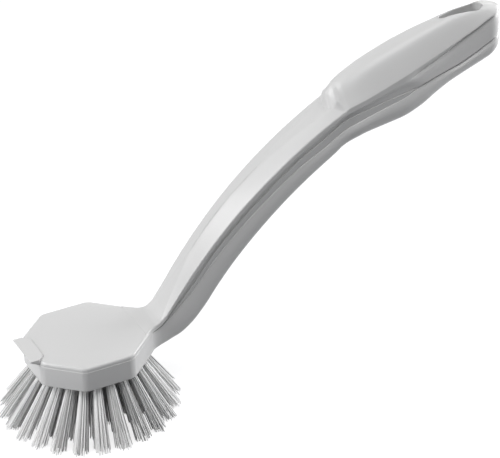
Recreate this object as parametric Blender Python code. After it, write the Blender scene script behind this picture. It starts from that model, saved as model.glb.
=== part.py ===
# A hand-held scrubbing brush: an octagonal head with a scraper lip, an arched neck and a leaf-shaped grip
# in one moulding, and round tufts of bristle set in blind holes that fan out of one point above the head.
#
# X runs along the brush from the bristles' front to the end of the grip, Z is up, and the brush is
# symmetric about Y = 0. It stands on its bristle tips, and the origin is at the bottom centre of its box.
# Heights below are measured from the top of the head, lengths from the head's rear edge.
import math

import bmesh
import bpy
from mathutils import Matrix, Vector

# Head, in metres
HEAD_LENGTH = 0.0574
HEAD_WIDTH = 0.054
HEAD_THICKNESS = 0.0127
HEAD_FRONT_EDGE = 0.0239      # straight edge behind the scraper lip
HEAD_REAR_EDGE = 0.0197       # straight edge that the neck grows out of
HEAD_FRONT_TAPER = 0.0156     # how far the slanting front corners run back
HEAD_REAR_TAPER = 0.0179
HEAD_CORNER_RADIUS = 0.0055
HEAD_EDGE_RADIUS = 0.0014     # round edge of the top face
HEAD_ROLL_OFF = 0.0045        # soft border where the top face starts to fall
HEAD_ROLL_DROP = 0.0003
RIM_CHAMFER = 0.0004

# Parting line, where the two halves of the mould met
HEAD_PARTING = 0.0026         # below the head's top
PARTING_STEP = 0.0002

# Scraper lip
SCRAPER_WIDTH = 0.0217
SCRAPER_REACH = 0.0043        # in front of the head
SCRAPER_DEPTH = 0.0073        # front to rear, in plan
SCRAPER_CHAMFER = 0.0031
SCRAPER_RISE = 0.0007         # over the head's top
SCRAPER_TIP = 0.0006          # thickness of its front edge
SCRAPER_ROOT = 0.0024         # thickness where it leaves the head

# Neck
NECK_LENGTH = 0.101           # head's rear edge to the shoulder
NECK_RISE = 0.0859            # side edge at the shoulder, over the head's top
NECK_WIDTH = 0.0171           # at its narrowest, close to the head
SHOULDER_WIDTH = 0.0226
NECK_RIDGE = 0.0037           # height of the roof ridge over the side edges
NECK_EDGE_RADIUS = 0.0011
NECK_CORNER_RADIUS = 0.0042   # lower corners
SHOULDER_DEPTH = 0.019        # side edge to underside

# Grip
GRIP_LENGTH = 0.088
GRIP_RISE = 0.0294            # side edge from the shoulder to the end
GRIP_WIDTH = 0.0255
GRIP_DEPTH = 0.0217           # side edge to underside, at the end
GRIP_CROWN = 0.0132           # height of the raised pad over its edge
GRIP_CORNER_RADIUS = 0.0055
GRIP_END_RADIUS = 0.0078
PAD_STEP_LENGTH = 0.0028      # run of the round step that starts the pad
PAD_LEDGE = 0.0005            # near the end the body stands proud of the pad by this
PAD_PROFILE = (               # shares of the pad's half width and of its height, from its middle
    (0.0, 1.0), (0.22, 0.96), (0.42, 0.845), (0.6, 0.63), (0.8, 0.32), (1.0, 0.0),
)
WALL_DRAFT = 0.0006           # the walls lean in by this towards the underside
EDGE_DRAFT = 0.00035          # and by this towards the side edge

# Hanging slot
SLOT_LENGTH = 0.0228
SLOT_WIDTH = 0.0076
SLOT_TIP_WIDTH = 0.0024        # at its pointed end, towards the head
SLOT_END_MARGIN = 0.0088      # material left behind the slot

# Bristle tufts
BRISTLE_LENGTH = 0.0262        # from the head's underside to the tips, straight down
TUFT_RINGS = (("outer", 24), ("second", 17), ("third", 11), ("centre", 3))
OUTER_RING_RADIUS = 0.0225
RING_SPACING = 0.0063
OUTER_SPLAY = math.radians(33)
FAN_LEAN = 0.0022             # the point that the tufts fan out of lies this far behind the head's centre
HOLE_DIAMETER = 0.004
HOLE_DEPTH = 0.0064
TUFT_CLEARANCE = 0.0003       # between a tuft's root and its hole
STRANDS = 8                   # strands in a tuft
STRAND_GAP = 0.00012          # half the gap between two strands at the root
STRAND_FLARE = 1.65            # width of a strand at its tip, against its root

TIP_Z = 0.0
UNDERSIDE_Z = TIP_Z + BRISTLE_LENGTH
HEAD_TOP_Z = UNDERSIDE_Z + HEAD_THICKNESS
HEAD_REAR_X = HEAD_LENGTH / 2
CUT_MARGIN = 0.002            # a cutter reaches this far past the surface that it opens

SECTION_STEP = 0.0042         # longest run between two sections of the handle
ARC_STEPS = 4                 # facets in a rounded corner of the head


def clear_scene():
    for item in list(bpy.data.objects):
        bpy.data.objects.remove(item, do_unlink=True)


def new_collection(name):
    collection = bpy.data.collections.new(name)
    bpy.context.scene.collection.children.link(collection)
    return collection


def new_material(name, colour, roughness):
    material = bpy.data.materials.new(name)
    material.use_nodes = True
    shader = material.node_tree.nodes["Principled BSDF"]
    shader.inputs["Base Color"].default_value = (*colour, 1.0)
    shader.inputs["Roughness"].default_value = roughness
    shader.inputs["Metallic"].default_value = 0.0
    material.diffuse_color = (*colour, 1.0)
    return material


def object_from_bmesh(name, bm, collection, material=None):
    mesh = bpy.data.meshes.new(name)
    bm.to_mesh(mesh)
    bm.free()
    mesh.shade_smooth()
    mesh.set_sharp_from_angle(angle=math.radians(24))
    item = bpy.data.objects.new(name, mesh)
    collection.objects.link(item)
    if material:
        mesh.materials.append(material)
    return item


def loft(name, rings, collection, material=None):
    """Closed skin over rings of points, all with the same count, with a cap at each end."""
    bm = bmesh.new()
    loops = [[bm.verts.new(point) for point in ring] for ring in rings]
    for loop, following in zip(loops, loops[1:]):
        for i, vertex in enumerate(loop):
            j = (i + 1) % len(loop)
            bm.faces.new((vertex, loop[j], following[j], following[i]))
    bm.faces.new(loops[0])
    bm.faces.new(loops[-1])
    bmesh.ops.recalc_face_normals(bm, faces=bm.faces)
    return object_from_bmesh(name, bm, collection, material)


def follow(line, x):
    """Value at x of a smooth line through (x, value) points, with no overshoot between them."""
    spans = [(b[1] - a[1]) / (b[0] - a[0]) for a, b in zip(line, line[1:])]
    slopes = [spans[0]]
    for before, after in zip(spans, spans[1:]):
        level = before * after <= 0
        slopes.append(0.0 if level else 2 * before * after / (before + after))
    slopes.append(spans[-1])
    x = min(max(x, line[0][0]), line[-1][0])
    i = max(k for k in range(len(spans)) if x >= line[k][0])
    width = line[i + 1][0] - line[i][0]
    t = (x - line[i][0]) / width
    rise = line[i + 1][1] - line[i][1]
    bend_in = slopes[i] * width - rise
    bend_out = rise - slopes[i + 1] * width
    return line[i][1] + t * rise + t * (1 - t) * (bend_in * (1 - t) + bend_out * t)


def blend(a, b, share):
    return a + (b - a) * share


# Head block and scraper lip

def head_corners(inset):
    """Eight corners of the head's outline, moved in from its edges by inset."""
    length = HEAD_LENGTH / 2
    width = HEAD_WIDTH / 2
    corners = [
        (length, HEAD_REAR_EDGE / 2), (length - HEAD_REAR_TAPER, width),
        (HEAD_FRONT_TAPER - length, width), (-length, HEAD_FRONT_EDGE / 2),
    ]
    corners += [(x, -y) for x, y in reversed(corners)]
    moved = []
    for i, corner in enumerate(corners):
        here = Vector(corner)
        before = (here - Vector(corners[i - 1])).normalized()
        after = (Vector(corners[(i + 1) % len(corners)]) - here).normalized()
        inward = Vector((-before.y - after.y, before.x + after.x))
        moved.append(here + inward * inset / (1 + before.dot(after)))
    return moved


def rounded(corners, radius):
    """Outline through corners, counter-clockwise, each turned into an arc of the given radius."""
    outline = []
    for i, corner in enumerate(corners):
        before = (corner - corners[i - 1]).normalized()
        after = (corners[(i + 1) % len(corners)] - corner).normalized()
        turn = before.angle_signed(after)
        setback = radius * math.tan(abs(turn) / 2)
        start = corner - before * setback
        side = Vector((-before.y, before.x))
        for step in range(ARC_STEPS + 1):
            angle = abs(turn) * step / ARC_STEPS
            outline.append(start + before * radius * math.sin(angle) + side * radius * (1 - math.cos(angle)))
    return outline


def head_ring(inset, z):
    radius = max(HEAD_CORNER_RADIUS - inset, HEAD_CORNER_RADIUS / 4)
    return [Vector((p.x, p.y, z)) for p in rounded(head_corners(inset), radius)]


def head_block(collection):
    top = HEAD_TOP_Z
    rings = [
        head_ring(RIM_CHAMFER, UNDERSIDE_Z),
        head_ring(0.0, UNDERSIDE_Z + RIM_CHAMFER),
        head_ring(0.0, top - HEAD_PARTING - PARTING_STEP),
        head_ring(PARTING_STEP, top - HEAD_PARTING),
    ]
    for step in range(4):
        angle = math.radians(90) * step / 3
        inset = PARTING_STEP + HEAD_EDGE_RADIUS * (1 - math.cos(angle))
        drop = HEAD_ROLL_DROP + HEAD_EDGE_RADIUS * (1 - math.sin(angle))
        rings.append(head_ring(inset, top - drop))
    rings.append(head_ring(PARTING_STEP + HEAD_ROLL_OFF, top))
    return loft("head_block", rings, collection)


def scraper_lip(collection):
    """Wedge with chamfered rear corners, thin at the front, whose root is sunk in the head."""
    front = -HEAD_LENGTH / 2 - SCRAPER_REACH
    rear = front + SCRAPER_DEPTH
    half = SCRAPER_WIDTH / 2
    plan = [
        (front, -half), (rear - SCRAPER_CHAMFER, -half), (rear, SCRAPER_CHAMFER - half),
        (rear, half - SCRAPER_CHAMFER), (rear - SCRAPER_CHAMFER, half), (front, half),
    ]
    top = HEAD_TOP_Z + SCRAPER_RISE
    deepening = (SCRAPER_ROOT - SCRAPER_TIP) / SCRAPER_REACH
    lower = [Vector((x, y, top - SCRAPER_TIP - deepening * (x - front))) for x, y in plan]
    upper = [Vector((x, y, top)) for x, y in plan]
    return loft("scraper_lip", [lower, upper], collection)


# Handle

def handle_lines():
    """Smooth lines that the handle's sections follow, as (distance, value) points."""
    neck, grip = NECK_LENGTH, NECK_LENGTH + GRIP_LENGTH
    inside = -0.1 * HEAD_LENGTH
    sunk = PARTING_STEP / 2
    neck_under = sunk - HEAD_THICKNESS, NECK_RISE - SHOULDER_DEPTH
    grip_under = neck_under[1], NECK_RISE + GRIP_RISE - GRIP_DEPTH
    neck_half, shoulder_half, grip_half = NECK_WIDTH / 2, SHOULDER_WIDTH / 2, GRIP_WIDTH / 2

    def along(share):
        return neck + share * GRIP_LENGTH

    edge = [(inside, -sunk), (0.004 * neck, -sunk)]
    for share, rise in (
        (0.031, 0.004), (0.065, 0.029), (0.085, 0.056), (0.125, 0.116), (0.204, 0.238), (0.323, 0.401),
        (0.461, 0.563), (0.62, 0.718), (0.778, 0.849), (0.917, 0.948), (1.0, 1.0),
    ):
        edge.append((share * neck, rise * NECK_RISE))
    for share, rise in (
        (0.041, 0.051), (0.086, 0.097), (0.132, 0.138), (0.2, 0.202), (0.29, 0.293), (0.473, 0.476),
        (0.655, 0.649), (0.745, 0.737), (0.836, 0.834), (0.905, 0.928), (1.0, 1.0),
    ):
        edge.append((along(share), NECK_RISE + rise * GRIP_RISE))

    under = [(inside, neck_under[0]), (0.06 * neck, neck_under[0])]
    for share, rise in (
        (0.125, 0.015), (0.184, 0.057), (0.263, 0.157), (0.343, 0.289), (0.422, 0.408), (0.521, 0.538),
        (0.62, 0.653), (0.719, 0.755), (0.818, 0.846), (0.897, 0.912), (0.956, 0.96), (1.0, 1.0),
    ):
        under.append((share * neck, blend(*neck_under, rise)))
    for share, rise in (
        (0.064, 0.093), (0.132, 0.153), (0.245, 0.203), (0.359, 0.261), (0.473, 0.377), (0.564, 0.521),
        (0.655, 0.645), (0.745, 0.735), (0.836, 0.822), (0.927, 0.915), (1.0, 1.0),
    ):
        under.append((along(share), blend(*grip_under, rise)))

    half_width = [(inside, HEAD_REAR_EDGE / 2), (0.0, HEAD_REAR_EDGE / 2)]
    for share, growth in (
        (0.045, 0.127), (0.085, 0.0), (0.125, 0.018), (0.184, 0.109), (0.263, 0.255), (0.362, 0.418),
        (0.461, 0.582), (0.58, 0.764), (0.7, 0.873), (0.818, 0.945), (0.917, 1.0),
    ):
        half_width.append((share * neck, blend(neck_half, shoulder_half, growth)))
    for share, growth in (
        (0.0, 0.15), (0.03, 0.31), (0.064, 0.655), (0.098, 0.897), (0.155, 0.966), (0.245, 1.0),
    ):
        half_width.append((along(share), blend(shoulder_half, grip_half, growth)))
    for share, width in (
        (0.359, 0.996), (0.45, 0.949), (0.541, 0.878), (0.632, 0.8), (0.723, 0.729), (0.814, 0.667),
        (0.882, 0.627),
    ):
        half_width.append((along(share), width * grip_half))
    half_width += [(grip - GRIP_END_RADIUS, GRIP_END_RADIUS), (grip, GRIP_END_RADIUS)]

    crown = [(inside, 0.0)]
    for share, rise in (
        (0.0, 0.05), (0.1, 0.27), (0.2, 0.54), (0.35, 0.92), (0.46, 1.0), (0.62, 0.8), (0.85, 0.65),
        (0.995, 0.7),
    ):
        crown.append((share * neck, rise * NECK_RIDGE))
    crown.append((neck + 0.3 * PAD_STEP_LENGTH, 0.59 * GRIP_CROWN))
    crown.append((neck + PAD_STEP_LENGTH, 0.775 * GRIP_CROWN))
    for share, rise in (
        (0.064, 0.82), (0.109, 0.884), (0.177, 0.97), (0.245, 0.994), (0.336, 1.0), (0.427, 0.976),
        (0.518, 0.937), (0.609, 0.874), (0.7, 0.806), (0.791, 0.672), (0.882, 0.448), (1.0, 0.1),
    ):
        crown.append((along(share), rise * GRIP_CROWN))

    flat = [
        (inside, 0.95), (0.0, 0.95), (0.065 * neck, 0.85), (0.125 * neck, 0.55), (0.204 * neck, 0.2),
        (0.263 * neck, 0.04), (0.58 * neck, 0.04), (0.7 * neck, 0.17), (0.85 * neck, 0.42), (neck, 0.66),
        (along(0.098), 0.1), (grip, 0.1),
    ]
    pad = [(inside, 0.0), (0.995 * neck, 0.0), (neck + PAD_STEP_LENGTH, 1.0), (grip, 1.0)]
    ledge = [(inside, 0.0), (along(0.473), 0.0), (along(0.655), 1.0), (grip, 1.0)]
    parting = [
        (inside, 0.25), (0.125 * neck, 0.249), (0.204 * neck, 0.266), (0.323 * neck, 0.272),
        (0.422 * neck, 0.31), (0.62 * neck, 0.355), (0.897 * neck, 0.417), (neck, 0.415),
        (along(0.245), 0.397), (along(0.427), 0.402), (along(0.541), 0.457), (along(0.632), 0.531),
        (along(0.723), 0.553), (grip, 0.535),
    ]
    corner = [
        (inside, 0.1), (0.0, 0.2), (0.125 * neck, 1.0), (neck, 1.0),
        (along(0.29), GRIP_CORNER_RADIUS / NECK_CORNER_RADIUS),
        (grip, GRIP_CORNER_RADIUS / NECK_CORNER_RADIUS),
    ]
    return {
        "edge": edge, "under": under, "half_width": half_width, "crown": crown,
        "flat": flat, "pad": pad, "ledge": ledge, "parting": parting, "corner": corner,
    }


def half_section(lines, x, end_angle=0.0):
    """Points of one half of a section, top to bottom, as (sideways, height) pairs."""
    value = {name: follow(line, x) for name, line in lines.items()}
    narrow = math.cos(end_angle)
    half = value["half_width"] * narrow
    crown = value["crown"] * narrow
    edge = value["edge"]
    corner = min(value["corner"] * NECK_CORNER_RADIUS, 0.8 * half)
    under = value["under"] + GRIP_CORNER_RADIUS * 0.7 * (1 - narrow)
    rounding = min(blend(NECK_EDGE_RADIUS, PAD_LEDGE, value["ledge"]), 0.5 * half)
    rim = half - rounding - min(EDGE_DRAFT, 0.2 * half)
    flat = value["flat"] * rim
    points = []
    for i in range(len(PAD_PROFILE)):
        if i < 3:
            roof = (flat * i / 2, crown)
        else:
            roof = (blend(flat, rim, (i - 2) / 3), crown * (5 - i) / 3)
        outward, rise = PAD_PROFILE[i]
        points.append((
            blend(roof[0], outward * rim, value["pad"]), edge + blend(roof[1], rise * crown, value["pad"]),
        ))
    outer = half - min(EDGE_DRAFT, 0.2 * half)
    points.append((outer - 0.29 * rounding, edge - 0.29 * rounding))
    points.append((outer, edge - rounding))
    depth = edge - under
    split = edge - value["parting"] * depth
    step = min(PARTING_STEP, 0.1 * half)
    points.append((half - step, split))
    points.append((half, split - step))
    lower = half - min(WALL_DRAFT, 0.1 * half)
    for i in range(4):
        angle = math.radians(30 * i)
        points.append((lower - corner * (1 - math.cos(angle)), under + corner * (1 - math.sin(angle))))
    points.append((0.0, under))
    return points


def handle_section(lines, x, end_angle=0.0):
    half = half_section(lines, x, end_angle)
    right = [Vector((HEAD_REAR_X + x, y, HEAD_TOP_Z + z)) for y, z in half]
    left = [Vector((p.x, -p.y, p.z)) for p in reversed(right[1:-1])]
    return right + left


def handle_skin(collection, material):
    lines = handle_lines()
    stops = sorted({x for line in lines.values() for x, _ in line})
    grip_end = NECK_LENGTH + GRIP_LENGTH
    last = grip_end - GRIP_END_RADIUS
    stops = [x for x in stops if x < last - SECTION_STEP / 4] + [last]
    spaced = [stops[0]]
    for x in stops[1:]:
        if x - spaced[-1] < SECTION_STEP / 6 and x < last:
            continue
        pieces = math.ceil((x - spaced[-1]) / SECTION_STEP)
        start = spaced[-1]
        spaced += [blend(start, x, (i + 1) / pieces) for i in range(pieces)]
    rings = [handle_section(lines, x) for x in spaced]
    for degrees in (20, 40, 58, 72, 84):
        angle = math.radians(degrees)
        rings.append(handle_section(lines, last + GRIP_END_RADIUS * math.sin(angle), angle))
    return loft("handle_body", rings, collection, material)


def slot_cutter(collection):
    """Upright cutter with a teardrop outline, wide towards the end of the grip."""
    big, small = SLOT_WIDTH / 2, SLOT_TIP_WIDTH / 2
    end = HEAD_REAR_X + NECK_LENGTH + GRIP_LENGTH - SLOT_END_MARGIN
    big_x = end - big
    small_x = end - SLOT_LENGTH + small
    lean = math.asin((big - small) / (big_x - small_x))
    outline = []
    for centre, radius, start, sweep, steps in (
        (big_x, big, -math.pi / 2 - lean, math.pi + 2 * lean, 10),
        (small_x, small, math.pi / 2 + lean, math.pi - 2 * lean, 6),
    ):
        for i in range(steps + 1):
            angle = start + sweep * i / steps
            outline.append((centre + radius * math.cos(angle), radius * math.sin(angle)))
    low = HEAD_TOP_Z + NECK_RISE - SHOULDER_DEPTH
    high = HEAD_TOP_Z + NECK_RISE + GRIP_RISE + GRIP_CROWN + CUT_MARGIN
    rings = [[Vector((x, y, z)) for x, y in outline] for z in (low, high)]
    return loft("slot_cutter", rings, collection)


# Tufts

def fan_apex():
    """Point over the head that the tufts fan out of, with the head's centre as x = y = 0."""
    return Vector((FAN_LEAN, 0.0, UNDERSIDE_Z + OUTER_RING_RADIUS / math.tan(OUTER_SPLAY)))


def tuft_places():
    """Name and mouth of each tuft, ring by ring, starting at the front."""
    for ring, (name, count) in enumerate(TUFT_RINGS):
        radius = OUTER_RING_RADIUS - ring * RING_SPACING
        for i in range(count):
            angle = math.pi + 2 * math.pi * (i + 0.5 * (ring % 2)) / count
            mouth = Vector((radius * math.cos(angle), radius * math.sin(angle), UNDERSIDE_Z))
            yield f"tuft_{name}_{i + 1:02d}", mouth


def along_axis(mouth, inward, length):
    """Matrix that lays a cylinder of this length on the tuft's axis, from inward of the mouth outwards."""
    axis = (mouth - fan_apex()).normalized()
    centre = mouth + axis * (length / 2 - inward)
    return Matrix.Translation(centre) @ axis.to_track_quat("-Z", "Y").to_matrix().to_4x4()


def hole_cutter(collection):
    bm = bmesh.new()
    for _, mouth in tuft_places():
        bmesh.ops.create_cone(
            bm, cap_ends=True, cap_tris=False, segments=STRANDS, radius1=HOLE_DIAMETER / 2,
            radius2=HOLE_DIAMETER / 2, depth=HOLE_DEPTH + CUT_MARGIN,
            matrix=along_axis(mouth, HOLE_DEPTH, HOLE_DEPTH + CUT_MARGIN),
        )
    return object_from_bmesh("hole_cutter", bm, collection)


def tuft(name, mouth, collection, material):
    """Root that fills the hole, and strands that spread from its face to one level of cut tips."""
    apex = fan_apex()
    root_length = HOLE_DEPTH - TUFT_CLEARANCE
    root_radius = HOLE_DIAMETER / 2 - TUFT_CLEARANCE
    bm = bmesh.new()
    bmesh.ops.create_cone(
        bm, cap_ends=True, cap_tris=False, segments=STRANDS, radius1=root_radius, radius2=root_radius,
        depth=root_length, matrix=along_axis(mouth, root_length, root_length),
    )
    axis = (mouth - apex).normalized()
    caps = [face for face in bm.faces if len(face.verts) == STRANDS]
    outer_cap = max(caps, key=lambda face: face.calc_center_median().dot(axis))
    cells = bmesh.ops.poke(bm, faces=[outer_cap])["faces"]
    bmesh.ops.inset_individual(bm, faces=cells, thickness=STRAND_GAP)
    ends = bmesh.ops.extrude_discrete_faces(bm, faces=cells)["faces"]
    for end in ends:
        centre = end.calc_center_median()
        reach = (centre.z - TIP_Z) / (apex.z - centre.z)
        tip = centre + (centre - apex) * reach
        direction = tip - centre
        for vertex in end.verts:
            spread = (vertex.co - centre) * STRAND_FLARE
            vertex.co = tip + spread - direction * (spread.z / direction.z)
    return object_from_bmesh(name, bm, collection, material)


# Assembly

def add_boolean(target, cutter, operation):
    modifier = target.modifiers.new(cutter.name, "BOOLEAN")
    modifier.operation = operation
    modifier.solver = "EXACT"
    modifier.object = cutter
    cutter.hide_render = True
    cutter.display_type = "WIRE"


def settle_origin(items):
    """Move everything so that the origin is at the middle of the length."""
    reach = [corner.x for item in items if item.type == "MESH" for corner in (v.co for v in item.data.vertices)]
    middle = (min(reach) + max(reach)) / 2
    for item in items:
        item.location.x = -middle


def build():
    clear_scene()
    brush = new_collection("bathtub_brush")
    cutters = new_collection("cutters")
    moulding = new_material("grey_polypropylene", (0.62, 0.62, 0.62), 0.28)
    filament = new_material("grey_filament", (0.5, 0.5, 0.49), 0.45)

    body = handle_skin(brush, moulding)
    add_boolean(body, head_block(cutters), "UNION")
    add_boolean(body, scraper_lip(cutters), "UNION")
    add_boolean(body, hole_cutter(cutters), "DIFFERENCE")
    add_boolean(body, slot_cutter(cutters), "DIFFERENCE")
    for name, mouth in tuft_places():
        tuft(name, mouth, brush, filament)
    settle_origin(list(brush.objects) + list(cutters.objects))


build()
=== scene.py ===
import math
import random

import bmesh
import bpy
from mathutils import Matrix, Vector


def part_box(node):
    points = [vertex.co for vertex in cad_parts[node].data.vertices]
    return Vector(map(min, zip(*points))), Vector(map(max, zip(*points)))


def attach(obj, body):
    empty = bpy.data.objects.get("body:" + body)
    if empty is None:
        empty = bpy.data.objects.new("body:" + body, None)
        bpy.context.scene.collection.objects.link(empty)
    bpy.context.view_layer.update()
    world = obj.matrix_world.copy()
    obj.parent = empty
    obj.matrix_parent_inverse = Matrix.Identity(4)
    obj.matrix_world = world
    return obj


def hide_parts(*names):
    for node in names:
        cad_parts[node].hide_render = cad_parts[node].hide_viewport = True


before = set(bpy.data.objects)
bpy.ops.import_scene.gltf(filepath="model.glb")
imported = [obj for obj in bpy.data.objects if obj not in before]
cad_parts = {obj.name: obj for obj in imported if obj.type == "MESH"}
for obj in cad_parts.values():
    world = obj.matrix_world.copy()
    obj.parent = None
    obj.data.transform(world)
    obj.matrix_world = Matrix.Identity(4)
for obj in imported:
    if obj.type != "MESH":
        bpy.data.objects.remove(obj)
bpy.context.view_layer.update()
print("frame loaded:", len(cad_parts), "CAD nodes")

# Sizes in metres. The brush lies along X with its head towards -X, stands on its bristle tips at Z = 0
# and is symmetric about Y = 0. The CAD moulding gives the place of its end.
brush = {
    "headLength": 0.0574,
    "headThickness": 0.0127,
    "undersideHeight": 0.0262,
    "neckLength": 0.101,
    "gripLength": 0.088,
}
gripEnd = brush["neckLength"] + brush["gripLength"]                 # measured from the head's rear edge
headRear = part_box("handle_body")[1].x - gripEnd
headMiddle = headRear - brush["headLength"] / 2
headTop = brush["undersideHeight"] + brush["headThickness"]
sharpAngle = 20                 # degrees; an edge that turns more is shaded sharp
mergeDistance = 1e-7            # metres


def blend(a, b, share):
    return a + (b - a) * share


def valueAt(line, x):
    # smooth line through (x, value) points, which never swings past them
    x = min(max(x, line[0][0]), line[-1][0])
    spans = [(b[1] - a[1]) / (b[0] - a[0]) for a, b in zip(line, line[1:])]
    slopes = [spans[0]]
    for before, after in zip(spans, spans[1:]):
        slopes.append(0.0 if before * after <= 0 else 2 * before * after / (before + after))
    slopes.append(spans[-1])
    i = max(k for k in range(len(spans)) if x >= line[k][0])
    width = line[i + 1][0] - line[i][0]
    t = (x - line[i][0]) / width
    rise = line[i + 1][1] - line[i][1]
    bendIn = slopes[i] * width - rise
    bendOut = rise - slopes[i + 1] * width
    return line[i][1] + t * rise + t * (1 - t) * (bendIn * (1 - t) + bendOut * t)


def makeMesh(name, bm):
    mesh = bpy.data.meshes.new(name)
    bm.to_mesh(mesh)
    bm.free()
    return mesh


def shade(mesh, sharpDegrees=sharpAngle):
    mesh.shade_smooth()
    mesh.set_sharp_from_angle(angle=math.radians(sharpDegrees))


def addToScene(name, data):
    item = bpy.data.objects.new(name, data)
    bpy.context.scene.collection.objects.link(item)
    return item


def makeSolid(name, bm):
    # merges the doubles first, so that the faces can be turned outwards
    bmesh.ops.remove_doubles(bm, verts=bm.verts, dist=mergeDistance)
    bmesh.ops.recalc_face_normals(bm, faces=bm.faces)
    mesh = makeMesh(name, bm)
    shade(mesh)
    return addToScene(name, mesh)


def wrapGrid(bm, rings):
    # bends a flat grid round closed rings of points: a row to a ring, its last point on its first
    around = len(rings[0])
    grid = bmesh.ops.create_grid(bm, x_segments=around - 1, y_segments=len(rings) - 1, size=1)["verts"]
    for i, vertex in enumerate(grid):
        vertex.co = rings[i // around][i % around]


def carve(body, tool, operation):
    # joins or cuts with an exact Boolean, keeps the result as the body's mesh and drops the tool
    modifier = body.modifiers.new("carve", "BOOLEAN")
    modifier.operation = operation
    modifier.solver = "EXACT"
    modifier.object = tool
    evaluated = body.evaluated_get(bpy.context.evaluated_depsgraph_get())
    result = bpy.data.meshes.new_from_object(evaluated)
    body.modifiers.clear()
    spent = body.data
    body.data = result
    bpy.data.meshes.remove(spent)
    bpy.data.objects.remove(tool)


# Handle: neck and grip are one skin, whose sections follow these lines

neck = {
    "rise": 0.0859,             # side edge at the shoulder, over the head's top
    "width": 0.0171,            # at its narrowest, close to the head
    "shoulderWidth": 0.0226,
    "ridge": 0.0037,            # roof over the side edges
    "ridgeRound": 0.03,         # share of the half width that rounds the roof's folds
    "edgeRadius": 0.001,
    "cornerRadius": 0.0042,
    "shoulderDepth": 0.019,
}
grip = {
    "rise": 0.0294,
    "width": 0.0255,
    "depth": 0.0217,
    "crown": 0.0132,
    "edgeRadius": 0.0013,
    "cornerRadius": 0.0055,
    "endRadius": 0.0078,
    "endLift": 0.7,             # share of the corner's radius that the underside rises at the end
    "padStep": 0.0028,          # length of the round step that starts the raised pad
    "padSweep": 0.0062,         # the pad's round nose starts this far ahead of its sides
    "padPoint": 1.35,           # 1 makes the nose a point, 2 a round
}
# Side walls, from the edge of the roof down: the upper wall curls in to a crease and on to a fold, a flat
# band leads to the parting line, and the lower wall starts in a thin ledge under it and bulges out again.
wall = {
    "edgeDraft": 0.00035,
    "groove": 0.0016,           # under the pad's edge, near the end of the grip
    "groovePower": 6,           # how fast it runs out below
    "grooveGap": 0.0001,        # least height between it and the round of the edge
    "curl": 0.0011,             # of the upper wall, down to its crease
    "undercut": 0.0002,         # more of it from there to the fold
    "notch": 0.0009,            # over the fold, near the end of the grip
    "notchPower": 2,
    "bandInset": 0.001,         # of the flat band
    "bandLean": 0.0003,         # its foot lies this much further in
    "ledge": 0.0009,            # the lower wall starts this far in from its widest
    "tailLedge": 0.0011,        # and this far near the end of the grip
    "ledgeStep": 0.0002,        # height in which it comes out from the band's foot
    "belly": 0.65,              # where it is widest, as a share of its height
    "bottomDraft": 0.0002,
    "cornerShare": 0.8,         # most of the half width that the bottom corner takes
    "fullWidth": 0.004,         # half width under which all of these shrink, where the end closes
}
# share of the pad's half width, share of its height: a round top, a soft crease and a steep side facet
padProfile = [(0, 1), (0.15, 0.985), (0.3, 0.93), (0.45, 0.815), (0.6, 0.63), (0.8, 0.32), (1, 0)]
partingLine = {"step": 0.00012, "support": 0.0003}                    # of the head block
# where a section has its points, as shares of each stretch
stops = {
    "roof": (0.12, 0.24, 0.34, 0.42, 0.5, 0.58, 0.68, 0.78, 0.89, 1),
    "edge": 7,                  # steps of its round
    "toGroove": (0.3, 0.7, 0.9, 1),
    "toCrease": (0.02, 0.06, 0.2, 0.35, 0.5, 0.65, 0.8, 0.92, 1),
    "toFold": (0.1, 0.5, 1),
    "band": (0.02, 0.15, 0.5, 0.85, 1),
    "lowerWall": (0, 0.12, 0.25, 0.4, 0.55, 0.7, 0.85),
    "corner": 7,
    "underside": (0.85, 0.5, 0),
    "end": (0, 8, 16, 24, 32, 40, 48, 56, 63, 70, 76, 81, 85, 88, 90),      # degrees round the grip's end
}


def along(share):
    return brush["neckLength"] + share * brush["gripLength"]


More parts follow.
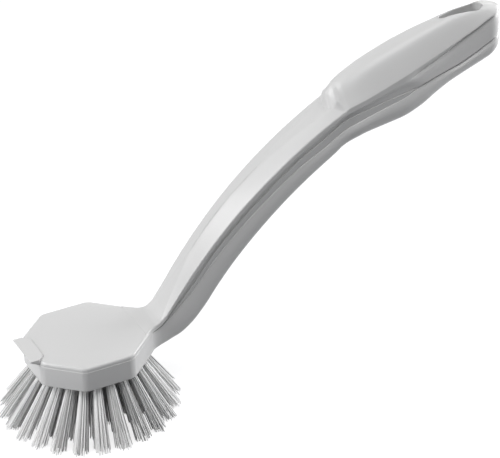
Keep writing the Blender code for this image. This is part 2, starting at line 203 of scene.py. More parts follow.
def handleLines():
    # Lines of (x, value) points, with x measured from the head's rear edge. Heights, half widths, the
    # crown, the band and the corner are in metres; pad and groove go from 0 to 1 where these forms start;
    # foldDepth is a share of the wall's height, crease one of the upper wall's, and creasePower bends the
    # curl above it; flat is a share of the half width.
    length, end = brush["neckLength"], gripEnd
    inside = -0.1 * brush["headLength"]
    sunk = partingLine["step"] / 2
    bottom = sunk - brush["headThickness"]
    shoulder, finish = neck["rise"] - neck["shoulderDepth"], neck["rise"] + grip["rise"] - grip["depth"]
    halfNeck, halfShoulder, halfGrip = neck["width"] / 2, neck["shoulderWidth"] / 2, grip["width"] / 2
    edge = [(inside, -sunk), (0.004 * length, -sunk)]
    for share, height in ((0.031, 0.004), (0.065, 0.029), (0.085, 0.056), (0.125, 0.116), (0.204, 0.238),
                          (0.323, 0.401), (0.461, 0.563), (0.62, 0.718), (0.778, 0.849), (0.917, 0.948),
                          (1, 1)):
        edge.append((share * length, height * neck["rise"]))
    for share, height in ((0.041, 0.051), (0.086, 0.097), (0.132, 0.138), (0.2, 0.202), (0.29, 0.293),
                          (0.473, 0.476), (0.655, 0.649), (0.745, 0.737), (0.836, 0.834), (0.905, 0.928),
                          (1, 1)):
        edge.append((along(share), neck["rise"] + height * grip["rise"]))
    under = [(inside, bottom), (0.06 * length, bottom)]
    for share, height in ((0.125, 0.015), (0.184, 0.057), (0.263, 0.157), (0.343, 0.289), (0.422, 0.408),
                          (0.521, 0.538), (0.62, 0.653), (0.719, 0.755), (0.818, 0.846), (0.897, 0.912),
                          (0.956, 0.96), (1, 1)):
        under.append((share * length, blend(bottom, shoulder, height)))
    for share, height in ((0.064, 0.093), (0.132, 0.153), (0.245, 0.203), (0.359, 0.261), (0.473, 0.377),
                          (0.564, 0.521), (0.655, 0.645), (0.745, 0.735), (0.836, 0.822), (0.927, 0.915),
                          (1, 1)):
        under.append((along(share), blend(shoulder, finish, height)))
    half = [(inside, 0.0149), (-0.0032, 0.0128), (-0.0012, 0.0111), (0.0008, 0.0099), (0.0026, 0.0093)]
    for share, growth in ((0.045, 0.127), (0.085, 0), (0.125, 0.018), (0.184, 0.109), (0.263, 0.255),
                          (0.362, 0.418), (0.461, 0.582), (0.58, 0.764), (0.7, 0.873), (0.818, 0.945),
                          (0.917, 1)):
        half.append((share * length, blend(halfNeck, halfShoulder, growth)))
    for share, growth in ((0, 0.15), (0.03, 0.31), (0.064, 0.655), (0.098, 0.897), (0.155, 0.966),
                          (0.245, 1)):
        half.append((along(share), blend(halfShoulder, halfGrip, growth)))
    for share, width in ((0.359, 0.996), (0.45, 0.949), (0.541, 0.878), (0.632, 0.8), (0.723, 0.729),
                         (0.814, 0.667), (0.882, 0.627)):
        half.append((along(share), width * halfGrip))
    half += [(end - grip["endRadius"], grip["endRadius"]), (end, grip["endRadius"])]
    crown = [(inside, 0)]
    for share, height in ((0, 0.05), (0.1, 0.27), (0.2, 0.54), (0.35, 0.92), (0.46, 1), (0.62, 0.8),
                          (0.85, 0.65), (0.995, 0.7)):
        crown.append((share * length, height * neck["ridge"]))
    crown += [(length + 0.3 * grip["padStep"], 0.46 * grip["crown"]),
              (length + grip["padStep"], 0.63 * grip["crown"])]
    for share, height in ((0.064, 0.735), (0.115, 0.825), (0.16, 0.884), (0.228, 0.97), (0.296, 0.994),
                          (0.387, 1), (0.478, 0.976), (0.569, 0.937), (0.66, 0.874), (0.751, 0.806),
                          (0.842, 0.672), (0.933, 0.448), (1.05, 0.1)):
        crown.append((along(share), height * grip["crown"]))
    return {
        "edge": edge, "under": under, "half": half, "crown": crown,
        "flat": [(inside, 0.95), (0, 0.95), (0.065 * length, 0.85), (0.125 * length, 0.55),
                 (0.204 * length, 0.2), (0.263 * length, 0.04), (0.58 * length, 0.04), (0.7 * length, 0.17),
                 (0.85 * length, 0.42), (length, 0.66), (along(0.098), 0.1), (end, 0.1)],
        "pad": [(inside, 0), (0.995 * length, 0), (length + grip["padStep"], 1), (end, 1)],
        "groove": [(inside, 0), (along(0.35), 0), (along(0.49), 1), (end, 1)],
        "grooveHeight": [(inside, 0.0026), (along(0.2), 0.0026), (along(0.45), 0.0036), (along(0.6), 0.0034),
                         (along(0.75), 0.0019), (along(0.85), 0.0014), (end, 0.0012)],
        "crease": [(inside, 0.44), (0.2 * length, 0.6), (along(0.27), 0.6),
                   (along(0.37), 0.7), (along(0.46), 0.88), (end, 0.9)],
        "creasePower": [(inside, 1.1), (along(0.36), 1.1), (along(0.5), 4), (end, 4)],
        "foldDepth": [(inside, 0.25), (0.125 * length, 0.24), (0.204 * length, 0.26),
                      (0.323 * length, 0.234), (0.422 * length, 0.258), (0.62 * length, 0.284),
                      (0.78 * length, 0.288), (0.897 * length, 0.326), (length, 0.3), (along(0.245), 0.354),
                      (along(0.427), 0.445), (along(0.541), 0.517), (along(0.632), 0.586),
                      (along(0.723), 0.629), (end, 0.572)],
        "band": [(inside, 0), (0.065 * length, 0.0003), (0.125 * length, 0.0016), (0.204 * length, 0.0028),
                 (0.323 * length, 0.0034), (0.62 * length, 0.0036), (0.897 * length, 0.0043),
                 (length, 0.0047), (along(0.1), 0.0041), (along(0.245), 0.0031), (along(0.35), 0.0024),
                 (along(0.427), 0.001), (along(0.49), 0.0002), (end, 0.0002)],
        "corner": [(inside, 0.1 * neck["cornerRadius"]), (0, 0.2 * neck["cornerRadius"]),
                   (0.125 * length, neck["cornerRadius"]), (length, neck["cornerRadius"]),
                   (along(0.29), grip["cornerRadius"]), (end, grip["cornerRadius"])],
    }


lines = handleLines()


def halfSection(x, endAngle=0.0):
    # points of the +Y half from the middle of the top to the middle of the underside, as (y, z)
    value = {name: valueAt(line, x) for name, line in lines.items()}
    narrow = math.cos(endAngle)
    half, edge = value["half"] * narrow, value["edge"]
    small = min(1, half / wall["fullWidth"])
    under = value["under"] + grip["cornerRadius"] * grip["endLift"] * (1 - narrow)
    radius = blend(neck["edgeRadius"], grip["edgeRadius"], value["pad"]) * small
    outer = half - wall["edgeDraft"] * small
    reach = outer - radius * (1 - value["pad"])          # where the roof meets the height of the edge
    flat, soft = value["flat"], neck["ridgeRound"]

    def roof(share):
        heights = [min(1, (1 - s) / (1 - flat)) for s in (abs(share - soft), share, share + soft)]
        tent = sum(heights) / 3 if share + soft < 1 else heights[1]
        ahead = x + grip["padSweep"] * (1 - share ** grip["padPoint"])
        crown, pad = valueAt(lines["crown"], ahead) * narrow, valueAt(lines["pad"], ahead)
        return crown * blend(tent, valueAt(padProfile, share), pad)

    steepness = (roof(0.9) - roof(1.0)) / (0.1 * reach + 1e-9)      # the reach is 0 at the closed end
    across = Vector((1, -steepness)).normalized()
    corner = Vector((outer, edge - steepness * (outer - reach)))
    fold = edge - value["foldDepth"] * (edge - under)
    turn = abs(across.angle_signed(Vector((0, -1))))
    start = corner - across * radius * math.tan(turn / 2)
    roofEnd = start.x / reach
    edgeGap = min(soft, flat * 0.8, (1 - flat) * 0.6)    # closer points beside the flat top's border
    shares = [0, flat * 0.35, flat * 0.7, flat - edgeGap, flat, flat + edgeGap]
    shares += [blend(flat + edgeGap, 1, s) for s in stops["roof"]]
    points = [(s * roofEnd * reach, edge + roof(s * roofEnd)) for s in shares]
    inward = Vector((across.y, -across.x))
    for step in range(1, stops["edge"] + 1):
        angle = turn * step / stops["edge"]
        point = start + across * radius * math.sin(angle) + inward * radius * (1 - math.cos(angle))
        points.append((point.x, point.y))
    rollEnd = points[-1][1]
    crease = blend(rollEnd, fold, value["crease"])
    groove = min(edge - value["grooveHeight"], rollEnd - wall["grooveGap"])
    grooved = value["groove"] * wall["groove"] * small
    for share in stops["toGroove"]:
        points.append((outer - grooved * share, blend(rollEnd, groove, share)))
    for share in stops["toCrease"]:
        curl = wall["curl"] * share ** value["creasePower"]
        runOut = wall["groove"] * (1 - share) ** wall["groovePower"]
        inset = blend(curl, runOut, value["groove"])
        points.append((outer - inset * small, blend(groove, crease, share)))
    for share in stops["toFold"]:
        curl = wall["curl"] + wall["undercut"] * share
        inset = blend(curl, wall["notch"] * share ** wall["notchPower"], value["groove"])
        points.append((outer - inset * small, blend(crease, fold, share)))
    foot = fold - value["band"] * small
    for share in stops["band"]:
        inset = wall["bandInset"] + wall["bandLean"] * share
        points.append((half - inset * small, blend(fold, foot, share)))
    ledge = blend(wall["ledge"], wall["tailLedge"], value["groove"])
    lower = half - wall["bottomDraft"] * small
    bottomRadius = min(value["corner"], wall["cornerShare"] * half)
    for share in stops["lowerWall"]:
        fromBelly = share / wall["belly"] - 1
        deep = ledge if fromBelly < 0 else wall["bottomDraft"]
        z = blend(foot - wall["ledgeStep"] * small, under + bottomRadius, share)
        points.append((half - deep * small * fromBelly ** 2, z))
    for step in range(stops["corner"] + 1):
        angle = math.radians(90) * step / stops["corner"]
        points.append((lower - bottomRadius * (1 - math.cos(angle)),
                       under + bottomRadius * (1 - math.sin(angle))))
    inner = lower - bottomRadius
    points += [(inner * share, under) for share in stops["underside"]]
    return points


def handleStations():
    # places of the sections, and how far round the grip's end each one is
    length, last, margin = brush["neckLength"], gripEnd - grip["endRadius"], 0.0008
    # start of each stretch and the spacing in it, which is closest at the head and at the pad's nose
    stretches = [(-0.1 * brush["headLength"], 0.0014), (-0.001, 0.0004), (0.008, 0.0013),
                 (length - grip["padSweep"] - margin, 0.0003), (length + grip["padStep"] + margin, 0.0012),
                 (last, None)]
    stations = []
    for (start, spacing), (finish, _) in zip(stretches, stretches[1:]):
        count = math.ceil((finish - start) / spacing)
        stations += [(blend(start, finish, i / count), 0.0) for i in range(count)]
    for degrees in stops["end"]:
        angle = math.radians(degrees)
        stations.append((last + grip["endRadius"] * math.sin(angle), angle))
    return stations


def growHandle():
    # the long sides of the wrapped grid meet on the underside
    rings = []
    for x, angle in handleStations():
        half = halfSection(x, angle)
        ring = [(-y, z) for y, z in reversed(half)] + half[1:]
        rings.append([Vector((headRear + x, y, headTop + z)) for y, z in ring])
    bm = bmesh.new()
    wrapGrid(bm, rings)
    bmesh.ops.remove_doubles(bm, verts=bm.verts, dist=10 * mergeDistance)
    bmesh.ops.holes_fill(bm, edges=bm.edges, sides=0)
    return makeSolid("handle_moulding", bm)


# Head block and scraper lip

head = {
    "width": 0.054,
    "frontEdge": 0.0239,        # width of the octagon's front side
    "rearEdge": 0.0197,
    "frontTaper": 0.0156,       # length in which it widens from there
    "rearTaper": 0.0179,
    "cornerRadius": 0.0055,
    "cornerSteps": 9,
    "edgeRadius": 0.0014,
    "edgeSteps": 7,
    "edgeSweep": 84,            # degrees of the edge's round, before the top's soft border starts
    "rollOff": 0.0045,          # width of that border
    "rollDrop": 0.0003,
    "rollSteps": 5,
    "rimChamfer": 0.0004,       # of the underside's rim
    "rimSteps": 3,
    "parting": 0.0026,          # its line lies this far under the top
}
lip = {
    "width": 0.0217,
    "reach": 0.0043,            # in front of the head
    "depth": 0.0073,            # from its front edge to its rear
    "chamfer": 0.0031,
    "rise": 0.0007,             # over the head's top
    "tip": 0.0006,              # thickness at the front edge
    "root": 0.003,              # and where it meets the head
    "edgeRadius": 0.00015,
    "edgeSteps": 2,
}


def headBlock():
    length, width = brush["headLength"] / 2, head["width"] / 2
    corners = [(length, head["rearEdge"] / 2), (length - head["rearTaper"], width),
               (head["frontTaper"] - length, width), (-length, head["frontEdge"] / 2)]
    corners += [(x, -y) for x, y in reversed(corners)]
    bm = bmesh.new()
    outline = bmesh.ops.create_circle(bm, cap_ends=True, segments=len(corners), radius=1)["verts"]
    for vertex, (x, y) in zip(outline, corners):
        vertex.co = (headMiddle + x, y, brush["undersideHeight"])
    setbacks = []
    for i, corner in enumerate(corners):
        here, before, after = (Vector(p) for p in (corner, corners[i - 1], corners[(i + 1) % len(corners)]))
        turn = (here - before).angle(after - here)
        setbacks.append(head["cornerRadius"] * math.tan(turn / 2))
    for vertex, setback in zip(outline, setbacks):
        bmesh.ops.bevel(bm, geom=[vertex], affect="VERTICES", offset=setback, offset_type="OFFSET",
                        segments=head["cornerSteps"], profile=0.5, material=-1)
    top = bm.faces[:][0]

    def raiseTop(inset, rise, shrink=1):
        # one more level of the block: a border inside the top face, or a wall under it
        nonlocal top
        if inset > 0:
            bmesh.ops.inset_region(bm, faces=[top], thickness=inset, depth=0, use_even_offset=True)
        else:
            top = bmesh.ops.extrude_discrete_faces(bm, faces=[top])["faces"][0]
            bmesh.ops.scale(bm, verts=top.verts[:], vec=(shrink, shrink, 1),
                            space=Matrix.Translation((-headMiddle, 0, 0)))
        bmesh.ops.translate(bm, verts=top.verts[:], vec=(0, 0, rise))

    radius, drop, sweep = head["edgeRadius"], head["rollDrop"], math.radians(head["edgeSweep"])
    step, support = partingLine["step"], partingLine["support"]
    rounds, rolls = head["edgeSteps"], head["rollSteps"]
    raiseTop(0, brush["headThickness"] - head["parting"] - step)
    raiseTop(step, step)
    raiseTop(0, support)
    raiseTop(0, head["parting"] - drop - radius - support)
    for i in range(rounds):
        a, b = (sweep * k / rounds for k in (i, i + 1))
        raiseTop(radius * (math.cos(a) - math.cos(b)), radius * (math.sin(b) - math.sin(a)))
    left = drop + radius * (1 - math.sin(sweep))
    for i in range(rolls):
        a, b = ((1 - k / rolls) ** 2 for k in (i, i + 1))
        raiseTop(0, left * (a - b), 1 - head["rollOff"] / rolls / width)
    bmesh.ops.holes_fill(bm, edges=bm.edges, sides=0)
    rim = [edge for edge in bm.edges if all(v.co.z < brush["undersideHeight"] + 1e-6 for v in edge.verts)]
    bmesh.ops.bevel(bm, geom=rim, affect="EDGES", offset=head["rimChamfer"], offset_type="OFFSET",
                    segments=head["rimSteps"], profile=0.5, material=-1)
    return makeSolid("head_block", bm)


def scraperLip():
    front = headMiddle - brush["headLength"] / 2 - lip["reach"]
    rear, half, cut = front + lip["depth"], lip["width"] / 2, lip["chamfer"]
    plan = [(front, -half), (rear - cut, -half), (rear, cut - half)]
    plan += [(x, -y) for x, y in reversed(plan)]
    top = headTop + lip["rise"]
    deepening = (lip["root"] - lip["tip"]) / lip["reach"]
    bm = bmesh.new()
    foot = bmesh.ops.create_circle(bm, cap_ends=True, segments=len(plan), radius=1)["verts"]
    for vertex, (x, y) in zip(foot, plan):
        vertex.co = (x, y, top - lip["tip"] - deepening * (x - front))
    raised = bmesh.ops.extrude_discrete_faces(bm, faces=bm.faces[:])["faces"][0]
    for vertex in raised.verts:
        vertex.co.z = top
    bmesh.ops.holes_fill(bm, edges=bm.edges, sides=0)
    bmesh.ops.bevel(bm, geom=bm.edges[:], affect="EDGES", offset=lip["edgeRadius"], offset_type="OFFSET",
                    segments=lip["edgeSteps"], profile=0.5, material=-1)
    return makeSolid("scraper_lip", bm)


# Hanging slot

slot = {
    "length": 0.0228,
    "width": 0.0076,
    "tipWidth": 0.0024,
    "endMargin": 0.0088,        # from its round end to the end of the grip
    "roundSteps": 32,
    "tipSteps": 12,
    "sideSteps": 10,
    "rimRadius": 0.0006,
    "rimStops": (0, 15, 30, 45, 60, 72),      # degrees round the rim
    "overshoot": 0.004,         # the cutter goes this far past both surfaces
    "overshootFlare": 1.6,      # and is this much wider there than the rim
}


def surfaceHeight(x, y, top):
    # height of the grip's upper or lower surface at a point in plan
    last = gripEnd - grip["endRadius"]
    angle = math.asin(min(max((x - last) / grip["endRadius"], 0), 1))
    points = halfSection(x, angle)
    points = points if top else points[::-1]
    for (ya, za), (yb, zb) in zip(points, points[1:]):
        if ya <= abs(y) <= yb:
            return headTop + blend(za, zb, (abs(y) - ya) / (yb - ya + 1e-12))
    return headTop + points[0][1]


def slotCutter():
    # a teardrop column that flares at both surfaces, so that the slot's rims are rounded
    big, small = slot["width"] / 2, slot["tipWidth"] / 2
    end = gripEnd - slot["endMargin"]
    bigX, smallX = end - big, end - slot["length"] + small
    lean = math.asin((big - small) / (bigX - smallX))
    outline = []                                         # (place in plan, outward direction)

    def sideTo(place):
        corner, outward = outline[-1]
        for i in range(1, slot["sideSteps"]):
            outline.append((corner.lerp(place, i / slot["sideSteps"]), outward))

    for centre, radius, start, sweep, steps in (
        (bigX, big, -math.pi / 2 - lean, math.pi + 2 * lean, slot["roundSteps"]),
        (smallX, small, math.pi / 2 + lean, math.pi - 2 * lean, slot["tipSteps"]),
    ):
        for i in range(steps + 1):
            angle = start + sweep * i / steps
            outward = Vector((math.cos(angle), math.sin(angle)))
            outline.append((Vector((centre, 0)) + outward * radius, outward))
        sideTo(Vector((smallX, 0)) + outward * small if centre == bigX else outline[0][0])
    levels = []                                          # (outward offset, depth under the surface)
    for degrees in reversed(slot["rimStops"]):
        angle = math.radians(degrees)
        levels.append((slot["rimRadius"] * (1 - math.cos(angle)), slot["rimRadius"] * (1 - math.sin(angle))))
    levels.insert(0, (levels[0][0] * slot["overshootFlare"], -slot["overshoot"]))
    rings = []
    for top in (True, False):
        sign = 1 if top else -1
        for out, depth in levels if top else levels[::-1]:
            ring = []
            for place, outward in outline:
                z = surfaceHeight(place.x, place.y, top) - sign * depth
                ring.append(Vector((headRear + place.x + outward.x * out, place.y + outward.y * out, z)))
            rings.append(ring + ring[:1])
    bm = bmesh.new()
    wrapGrid(bm, rings)
    bmesh.ops.remove_doubles(bm, verts=bm.verts, dist=mergeDistance)
    bmesh.ops.holes_fill(bm, edges=bm.edges, sides=0)
    return makeSolid("slot_cutter", bm)


# Bristles: round bundles that fan out of one point over the head

bristles = {
    "rings": (("outer", 24), ("second", 17), ("third", 11), ("centre", 3)),
    "outerRadius": 0.0225,
    "ringSpacing": 0.0063,
    "splay": math.radians(33),  # of the outer ring
    "lean": 0.0022,             # they fan out of a point this far behind the head's middle
    "holeRadius": 0.002,
    "holeSides": 20,
    "holeDepth": 0.0064,
    "rootDepth": 0.82,          # the filaments start at this share of it
    "filaments": 44,            # in one bundle
    "filamentSides": 5,
    "filamentBends": (0.2, 0.5, 0.78),        # shares of its length
    "filamentRadius": 0.00023,
    "radiusRange": (0.9, 1.1),
    "rootRadius": 0.00148,      # of the circle that the filaments' middles fill, in the hole
    "tipRadius": 0.0039,
    "unevenness": 0.0012,       # of the cut tips
    "stray": 0.00018,           # how far a filament wanders at its tip
    "bow": 0.00006,
    "bundleShade": 0.1,         # most that a bundle is lighter or darker than the middle tone
    "filamentShade": 0.36,      # spread of its filaments' tones round that
    "seed": 11,
}
goldenAngle = 2.39996           # radians; it spreads the filaments of a bundle evenly
apex = Vector((headMiddle + bristles["lean"], 0,
               brush["undersideHeight"] + bristles["outerRadius"] / math.tan(bristles["splay"])))


def bundlePlaces():
    # name of each bundle's CAD node and the middle of its hole's mouth
    for ring, (name, count) in enumerate(bristles["rings"]):
        radius = bristles["outerRadius"] - ring * bristles["ringSpacing"]
        for i in range(count):
            angle = math.pi + 2 * math.pi * (i + 0.5 * (ring % 2)) / count
            mouth = Vector((headMiddle + radius * math.cos(angle), radius * math.sin(angle),
                            brush["undersideHeight"]))
            yield f"tuft_{name}_{i + 1:02d}", mouth


def holeCutter():
    bm = bmesh.new()
    depth, spare = bristles["holeDepth"], 0.002          # the cutters stand out of the underside
    for _, mouth in bundlePlaces():
        axis = (mouth - apex).normalized()
        middle = mouth + axis * ((depth + spare) / 2 - depth)
        matrix = Matrix.Translation(middle) @ axis.to_track_quat("-Z", "Y").to_matrix().to_4x4()
        bmesh.ops.create_cone(bm, cap_ends=True, segments=bristles["holeSides"],
                              radius1=bristles["holeRadius"], radius2=bristles["holeRadius"],
                              depth=depth + spare, matrix=matrix)
    return makeSolid("hole_cutter", bm)


def filamentTemplate():
    # thin rod from Z = 0 at the root to Z = 1 at the tip, with rings where it bends
    bm = bmesh.new()
    bmesh.ops.create_cone(bm, cap_ends=True, segments=bristles["filamentSides"], radius1=1, radius2=1,
                          depth=1, matrix=Matrix.Translation((0, 0, 0.5)))
    for height in bristles["filamentBends"]:
        bmesh.ops.bisect_plane(bm, geom=bm.verts[:] + bm.edges[:] + bm.faces[:], plane_co=(0, 0, height),
                               plane_no=(0, 0, 1))
    return makeMesh("filament_template", bm)


def bristleBundle(name, mouth, template, dice):
    bm = bmesh.new()
    tone = bm.verts.layers.float.new("filamentTone")
    count, perRod = bristles["filaments"], len(template.vertices)
    out = mouth - apex
    inner = apex + out * (1 - bristles["rootDepth"] * bristles["holeDepth"] / out.length)
    turn = dice.uniform(0, 2 * math.pi)
    middleTone = 0.5 + dice.uniform(-bristles["bundleShade"], bristles["bundleShade"])
    for k in range(count):
        share = math.sqrt((k + 0.5) / count)
        angle = turn + k * goldenAngle
        spread = Vector((math.cos(angle), math.sin(angle), 0)) * share
        root = inner + spread * bristles["rootRadius"]
        tipHeight = bristles["unevenness"] * dice.random() ** 2
        tip = apex + out * ((apex.z - tipHeight) / (apex.z - mouth.z))
        stray = Vector((dice.gauss(0, 1), dice.gauss(0, 1), 0)) * bristles["stray"]
        tip += spread * bristles["tipRadius"] + stray
        bow = Vector((dice.gauss(0, 1), dice.gauss(0, 1), 0)) * bristles["bow"]
        radius = bristles["filamentRadius"] * dice.uniform(*bristles["radiusRange"])
        filamentTone = min(max(middleTone + dice.gauss(0, bristles["filamentShade"]), 0), 1)
        bm.from_mesh(template)
        bm.verts.ensure_lookup_table()
        for vertex in bm.verts[-perRod:]:
            x, y, s = vertex.co
            centre = root.lerp(tip, s) + bow * 4 * s * (1 - s) * s
            vertex.co = centre + Vector((x, y, 0)) * radius
            vertex[tone] = filamentTone
    mesh = makeMesh(name, bm)
    shade(mesh, 80)                                      # only the cut tips are sharp
    return addToScene(name, mesh)


# Materials

def colour(hexValue):
    # sRGB hex to linear
    channels = [int(hexValue[i:i + 2], 16) / 255 for i in (0, 2, 4)]
    return [c / 12.92 if c <= 0.04045 else ((c + 0.055) / 1.055) ** 2.4 for c in channels] + [1]


def addNode(tree, kind, settings=None, links=None):
    # settings are input values or the node's own options; links give (node, output) for an input
    node = tree.nodes.new(kind)
    for name, value in (settings or {}).items():
        if name in node.inputs:
            node.inputs[name].default_value = value
        else:
            setattr(node, name, value)
    for name, (source, output) in (links or {}).items():
        tree.links.new(source.outputs[output], node.inputs[name])
    return node


def newMaterial(name):
    material = bpy.data.materials.new(name)
    material.use_nodes = True
    tree = material.node_tree
    return material, tree, tree.nodes["Principled BSDF"]


mouldedPlastic = {
    "colour": "D0D0D0",
    "roughness": (0.29, 0.34),
    "ior": 1.49,
    "flowSize": 0.022,          # metres across one patch of the faint flow marks
    "flowRange": (0.3, 0.7),    # part of the noise that spans both roughnesses
    "sinkSize": 0.014,
    "sinkHeight": 0.00006,
    "grainSize": 0.0007,        # real mould grain is finer; drawn as coarse as it needs to show
    "grainHeight": 0.0000035,
}


def injectionMouldedPolypropylene():
    # Polypropylene from a polished steel mould: an even waxy gloss, faint flow marks and shallow sink waves.
    material, tree, shader = newMaterial("injection_moulded_polypropylene")
    p = mouldedPlastic
    position = {"Vector": (addNode(tree, "ShaderNodeTexCoord"), "Object")}
    flow = addNode(tree, "ShaderNodeTexNoise", {"Scale": 1 / p["flowSize"], "Detail": 2.0}, position)
    sink = addNode(tree, "ShaderNodeTexNoise", {"Scale": 1 / p["sinkSize"], "Detail": 1.0}, position)
    grain = addNode(tree, "ShaderNodeTexNoise", {"Scale": 1 / p["grainSize"], "Detail": 2.0}, position)
    gloss = addNode(tree, "ShaderNodeMapRange",
                    {"From Min": p["flowRange"][0], "From Max": p["flowRange"][1],
                     "To Min": p["roughness"][0], "To Max": p["roughness"][1]}, {"Value": (flow, "Fac")})
    waves = addNode(tree, "ShaderNodeBump", {"Strength": 1.0, "Distance": p["sinkHeight"]},
                    {"Height": (sink, "Fac")})
    skin = addNode(tree, "ShaderNodeBump", {"Strength": 1.0, "Distance": p["grainHeight"]},
                   {"Height": (grain, "Fac"), "Normal": (waves, "Normal")})
    shader.inputs["Base Color"].default_value = colour(p["colour"])
    tree.links.new(gloss.outputs["Result"], shader.inputs["Roughness"])
    tree.links.new(skin.outputs["Normal"], shader.inputs["Normal"])
    shader.inputs["IOR"].default_value = p["ior"]
    return material


filamentPlastic = {
    "dark": "B0B0B0",
    "mid": "ECECEC",
    "light": "FCFCFC",
    "roughness": 0.36,
    "ior": 1.57,
    "dieLineSize": 0.0004,
    "dieLineStretch": 0.15,     # upright scale of the lines, which makes them long
    "dieLineHeight": 0.00001,
}


def extrudedFilament():
    # Polyester bristle drawn through a die: satin rods, each a little lighter or darker than the next.
    material, tree, shader = newMaterial("extruded_polyester_filament")
    p = filamentPlastic
    tone = addNode(tree, "ShaderNodeAttribute", {"attribute_name": "filamentTone"})
    ramp = addNode(tree, "ShaderNodeValToRGB", links={"Fac": (tone, "Fac")})
    ramp.color_ramp.elements[0].color = colour(p["dark"])
    ramp.color_ramp.elements[1].color = colour(p["light"])
    ramp.color_ramp.elements.new(0.5).color = colour(p["mid"])
    position = addNode(tree, "ShaderNodeTexCoord")
    stretch = addNode(tree, "ShaderNodeMapping", {"Scale": (1, 1, p["dieLineStretch"])},
                      {"Vector": (position, "Object")})
    dieLines = addNode(tree, "ShaderNodeTexNoise", {"Scale": 1 / p["dieLineSize"], "Detail": 1.0},
                       {"Vector": (stretch, "Vector")})
    bump = addNode(tree, "ShaderNodeBump", {"Strength": 1.0, "Distance": p["dieLineHeight"]},
                   {"Height": (dieLines, "Fac")})
    tree.links.new(ramp.outputs["Color"], shader.inputs["Base Color"])
    tree.links.new(bump.outputs["Normal"], shader.inputs["Normal"])
    shader.inputs["Roughness"].default_value = p["roughness"]
    shader.inputs["IOR"].default_value = p["ior"]
    return material


# Floor, surroundings, lamps and camera

studio = {
    "floorRadius": 3,
    "floorColour": "9FA0A2",
    "floorRoughness": 0.9,
    "floorGlow": 0.8,           # what the camera sees on top of the lit floor, so that it comes out white
    "lampAim": (-0.02, 0, 0.06),
}
lamps = [
    # name, place, size, watts
    ("upper_near_softbox", (0.06, -0.3, 0.9), (0.45, 0.45), 2.3),
    ("upper_right_softbox", (0.45, -0.1, 0.76), (0.45, 0.45), 1.9),
    ("upper_left_softbox", (-0.66, 0.1, 0.67), (0.45, 0.45), 4.6),
    ("left_softbox", (-0.88, -0.1, 0.28), (0.45, 0.45), 2.3),
    ("right_softbox", (1.25, 0.1, 0.32), (1.05, 0.5), 16.0),
]
cameraView = {
    "azimuth": -25.18,          # degrees
    "elevation": 30.36,
    "roll": -2.32,
    "target": (-0.01136, -0.01995, 0.08283),
    "distance": 1.09794,
    "lens": 172.8,              # mm
    "sensor": 36,
}


def seenDirectly(tree):
    # 1 for what the camera sees itself, in a mirror or through glass
    path = addNode(tree, "ShaderNodeLightPath")
    seen = path.outputs["Is Camera Ray"]
    for ray in ("Is Glossy Ray", "Is Transmission Ray"):
        either = addNode(tree, "ShaderNodeMath", {"operation": "MAXIMUM"})
        tree.links.new(seen, either.inputs[0])
        tree.links.new(path.outputs[ray], either.inputs[1])
        seen = either.outputs["Value"]
    return seen


def layFloor():
    bm = bmesh.new()
    bmesh.ops.create_circle(bm, cap_ends=True, segments=64, radius=studio["floorRadius"])
    floor = makeSolid("studio_floor", bm)
    material, tree, shader = newMaterial("white_paper_floor")
    shader.inputs["Base Color"].default_value = colour(studio["floorColour"])
    shader.inputs["Roughness"].default_value = studio["floorRoughness"]
    shader.inputs["Specular IOR Level"].default_value = 0.0
    glow = addNode(tree, "ShaderNodeMath", {"operation": "MULTIPLY"})
    tree.links.new(seenDirectly(tree), glow.inputs[0])
    glow.inputs[1].default_value = studio["floorGlow"]
    tree.links.new(glow.outputs["Value"], shader.inputs["Emission Strength"])
    shader.inputs["Emission Color"].default_value = (1, 1, 1, 1)
    floor.data.materials.append(material)


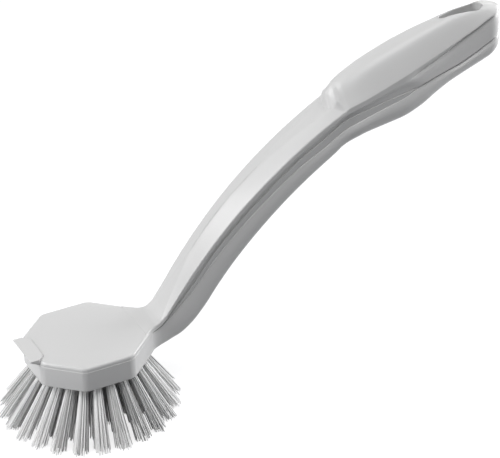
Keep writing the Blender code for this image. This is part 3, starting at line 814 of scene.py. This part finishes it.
def lightWorld():
    # white backdrop, which shows to the camera and in the gloss; the lamps give all the other light
    world = bpy.data.worlds.new("studio_world")
    bpy.context.scene.world = world
    world.use_nodes = True
    tree = world.node_tree
    tree.nodes.clear()
    backdrop = addNode(tree, "ShaderNodeBackground", {"Color": (1, 1, 1, 1)})
    tree.links.new(seenDirectly(tree), backdrop.inputs["Strength"])
    addNode(tree, "ShaderNodeOutputWorld", links={"Surface": (backdrop, "Background")})


def hangLamps():
    for name, place, size, watts in lamps:
        lamp = bpy.data.lights.new(name, "AREA")
        lamp.shape = "RECTANGLE"
        lamp.size, lamp.size_y = size
        lamp.energy = watts
        item = addToScene(name, lamp)
        item.location = place
        item.rotation_euler = (Vector(studio["lampAim"]) - Vector(place)).to_track_quat("-Z", "Y").to_euler()


def placeCamera():
    v = cameraView
    turn = (Matrix.Rotation(math.radians(v["azimuth"]), 4, "Z")
            @ Matrix.Rotation(math.radians(90 - v["elevation"]), 4, "X")
            @ Matrix.Rotation(math.radians(v["roll"]), 4, "Z"))
    data = bpy.data.cameras.new("photo_camera")
    data.sensor_width = v["sensor"]
    data.lens = v["lens"]
    data.clip_start = 0.01
    camera = addToScene("photo_camera", data)
    back = turn.to_3x3() @ Vector((0, 0, 1))
    camera.matrix_world = Matrix.Translation(Vector(v["target"]) + back * v["distance"]) @ turn
    bpy.context.scene.camera = camera


placeCamera()
layFloor()
lightWorld()
hangLamps()
bpy.context.scene.view_settings.view_transform = "Standard"
print("studio ready")

moulding = growHandle()
print("handle skin:", len(moulding.data.polygons), "faces")
carve(moulding, headBlock(), "UNION")
carve(moulding, scraperLip(), "UNION")
print("head and scraper lip joined")
carve(moulding, holeCutter(), "DIFFERENCE")
carve(moulding, slotCutter(), "DIFFERENCE")
shade(moulding.data)
moulding.data.materials.clear()
moulding.data.materials.append(injectionMouldedPolypropylene())
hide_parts("handle_body")
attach(moulding, "root")
print("moulding finished:", len(moulding.data.polygons), "faces")

bristleMaterial = extrudedFilament()
rod = filamentTemplate()
dice = random.Random(bristles["seed"])
for name, mouth in bundlePlaces():
    bundle = bristleBundle(name.replace("tuft_", "bristles_"), mouth, rod, dice)
    bundle.data.materials.append(bristleMaterial)
    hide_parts(name)
    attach(bundle, "root")
bpy.data.meshes.remove(rod)
print("bristles planted")
